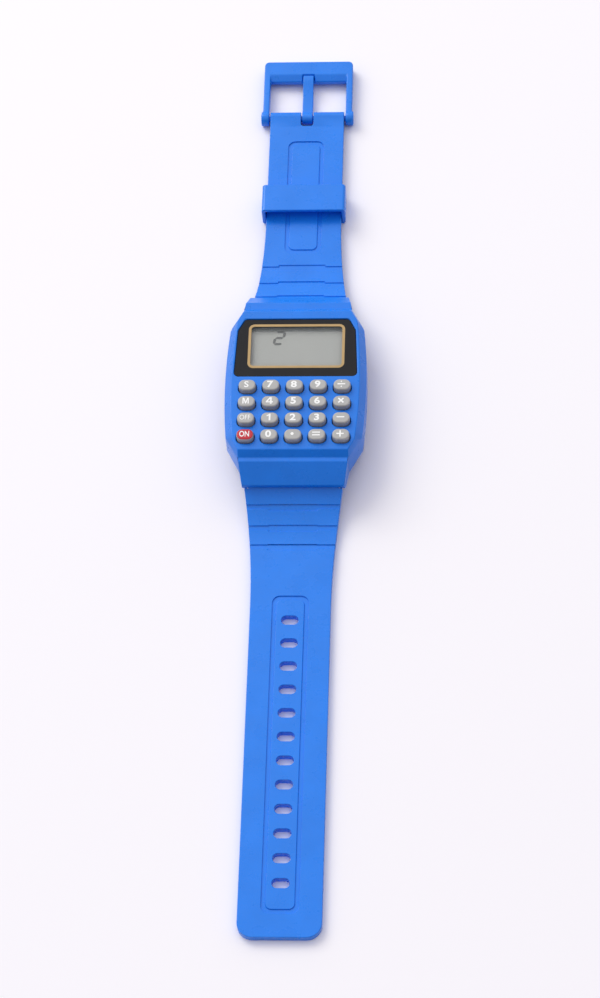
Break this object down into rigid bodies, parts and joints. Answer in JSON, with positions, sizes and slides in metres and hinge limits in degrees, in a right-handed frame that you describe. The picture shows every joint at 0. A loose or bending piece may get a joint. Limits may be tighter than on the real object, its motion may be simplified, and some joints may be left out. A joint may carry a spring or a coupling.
{
  "type": "calculator wristwatch",
  "caption": "Blue plastic calculator wristwatch lying open, with rubber-backed keys, a liquid-crystal window, hinged straps, a sliding keeper and a tongue buckle.",
  "frame": {"origin": "centre of the case back", "axes": "+Z out of the face, +Y along the watch to the buckle, +X to the right of the face"},
  "size_m": [0.0342, 0.243, 0.014],
  "materials": {
    "blue_plastic": "soft satin, moulded",
    "key_grey": "satin, moulded",
    "key_red": "satin, moulded",
    "black_mask": "satin print on clear plastic",
    "gold_line": "dull gold",
    "clear_lens": "polished, clear",
    "display_glass": "polished, clear",
    "display_grey": "matt grey film",
    "white_foam": "soft open foam",
    "dark_rubber": "matt",
    "board_green": "lacquered laminate",
    "copper_plate": "plated",
    "black_resin": "smooth resin",
    "steel": "brushed",
    "white_plastic": "moulded"
  },
  "bodies": {
    "case": {"case_shell": "blue_plastic", "back_cover": "blue_plastic", "back_screws": "steel", "display_mask": "black_mask", "window_border": "gold_line", "display_lens": "clear_lens", "display_film": "display_grey", "front_glass": "display_glass", "rear_glass": "display_glass", "display_reflector": "display_grey", "display_foam": "white_foam", "zebra_connector": "dark_rubber", "circuit_board": "board_green", "contact_pads": "copper_plate", "key_mat": "dark_rubber", "chip_resin": "black_resin", "crystal_can": "steel", "button_cell": "steel", "cell_contact_top": "copper_plate", "cell_contact_side": "copper_plate", "module_frame": "white_plastic", "spring_bar_upper": "steel", "spring_bar_lower": "steel"},
    "strap_upper": {"strap_upper": "blue_plastic"},
    "strap_lower": {"strap_lower": "blue_plastic"},
    "keeper": {"strap_keeper": "blue_plastic"},
    "buckle": {"buckle_frame": "blue_plastic", "buckle_pin": "blue_plastic"},
    "tongue": {"buckle_tongue": "blue_plastic"},
    "key_s": {"key_s": "key_grey"},
    "key_7": {"key_7": "key_grey"},
    "key_8": {"key_8": "key_grey"},
    "key_9": {"key_9": "key_grey"},
    "key_divide": {"key_divide": "key_grey"},
    "key_m": {"key_m": "key_grey"},
    "key_4": {"key_4": "key_grey"},
    "key_5": {"key_5": "key_grey"},
    "key_6": {"key_6": "key_grey"},
    "key_multiply": {"key_multiply": "key_grey"},
    "key_off": {"key_off": "key_grey"},
    "key_1": {"key_1": "key_grey"},
    "key_2": {"key_2": "key_grey"},
    "key_3": {"key_3": "key_grey"},
    "key_minus": {"key_minus": "key_grey"},
    "key_on": {"key_on": "key_red"},
    "key_0": {"key_0": "key_grey"},
    "key_point": {"key_point": "key_grey"},
    "key_equals": {"key_equals": "key_grey"},
    "key_plus": {"key_plus": "key_grey"}
  },
  "joints": [
    {"name": "strap_upper_hinge", "type": "hinge", "parent": "case", "child": "strap_upper", "pos_m": [0, 0.024, 0.00217], "axis": [-1, 0, 0], "range_deg": [0, 55]},
    {"name": "strap_lower_hinge", "type": "hinge", "parent": "case", "child": "strap_lower", "pos_m": [0, -0.024, 0.00217], "axis": [1, 0, 0], "range_deg": [0, 55]},
    {"name": "keeper_slide", "type": "slide", "parent": "strap_upper", "child": "keeper", "axis": [0, 1, 0], "range_m": [-0.0015, 0.02]},
    {"name": "buckle_hinge", "type": "hinge", "parent": "strap_upper", "child": "buckle", "pos_m": [0, 0.0864, -0.0022], "axis": [1, 0, 0], "range_deg": [-120, 45]},
    {"name": "tongue_hinge", "type": "hinge", "parent": "buckle", "child": "tongue", "pos_m": [0, 0.0864, -0.0022], "axis": [1, 0, 0], "range_deg": [0, 80]},
    {"name": "key_s_press", "type": "slide", "parent": "case", "child": "key_s", "axis": [0, 0, -1], "range_m": [0, 0.0004], "stiffness_N_per_m": 1500},
    {"name": "key_7_press", "type": "slide", "parent": "case", "child": "key_7", "axis": [0, 0, -1], "range_m": [0, 0.0004], "stiffness_N_per_m": 1500},
    {"name": "key_8_press", "type": "slide", "parent": "case", "child": "key_8", "axis": [0, 0, -1], "range_m": [0, 0.0004], "stiffness_N_per_m": 1500},
    {"name": "key_9_press", "type": "slide", "parent": "case", "child": "key_9", "axis": [0, 0, -1], "range_m": [0, 0.0004], "stiffness_N_per_m": 1500},
    {"name": "key_divide_press", "type": "slide", "parent": "case", "child": "key_divide", "axis": [0, 0, -1], "range_m": [0, 0.0004], "stiffness_N_per_m": 1500},
    {"name": "key_m_press", "type": "slide", "parent": "case", "child": "key_m", "axis": [0, 0, -1], "range_m": [0, 0.0004], "stiffness_N_per_m": 1500},
    {"name": "key_4_press", "type": "slide", "parent": "case", "child": "key_4", "axis": [0, 0, -1], "range_m": [0, 0.0004], "stiffness_N_per_m": 1500},
    {"name": "key_5_press", "type": "slide", "parent": "case", "child": "key_5", "axis": [0, 0, -1], "range_m": [0, 0.0004], "stiffness_N_per_m": 1500},
    {"name": "key_6_press", "type": "slide", "parent": "case", "child": "key_6", "axis": [0, 0, -1], "range_m": [0, 0.0004], "stiffness_N_per_m": 1500},
    {"name": "key_multiply_press", "type": "slide", "parent": "case", "child": "key_multiply", "axis": [0, 0, -1], "range_m": [0, 0.0004], "stiffness_N_per_m": 1500},
    {"name": "key_off_press", "type": "slide", "parent": "case", "child": "key_off", "axis": [0, 0, -1], "range_m": [0, 0.0004], "stiffness_N_per_m": 1500},
    {"name": "key_1_press", "type": "slide", "parent": "case", "child": "key_1", "axis": [0, 0, -1], "range_m": [0, 0.0004], "stiffness_N_per_m": 1500},
    {"name": "key_2_press", "type": "slide", "parent": "case", "child": "key_2", "axis": [0, 0, -1], "range_m": [0, 0.0004], "stiffness_N_per_m": 1500},
    {"name": "key_3_press", "type": "slide", "parent": "case", "child": "key_3", "axis": [0, 0, -1], "range_m": [0, 0.0004], "stiffness_N_per_m": 1500},
    {"name": "key_minus_press", "type": "slide", "parent": "case", "child": "key_minus", "axis": [0, 0, -1], "range_m": [0, 0.0004], "stiffness_N_per_m": 1500},
    {"name": "key_on_press", "type": "slide", "parent": "case", "child": "key_on", "axis": [0, 0, -1], "range_m": [0, 0.0004], "stiffness_N_per_m": 1500},
    {"name": "key_0_press", "type": "slide", "parent": "case", "child": "key_0", "axis": [0, 0, -1], "range_m": [0, 0.0004], "stiffness_N_per_m": 1500},
    {"name": "key_point_press", "type": "slide", "parent": "case", "child": "key_point", "axis": [0, 0, -1], "range_m": [0, 0.0004], "stiffness_N_per_m": 1500},
    {"name": "key_equals_press", "type": "slide", "parent": "case", "child": "key_equals", "axis": [0, 0, -1], "range_m": [0, 0.0004], "stiffness_N_per_m": 1500},
    {"name": "key_plus_press", "type": "slide", "parent": "case", "child": "key_plus", "axis": [0, 0, -1], "range_m": [0, 0.0004], "stiffness_N_per_m": 1500}
  ]
}
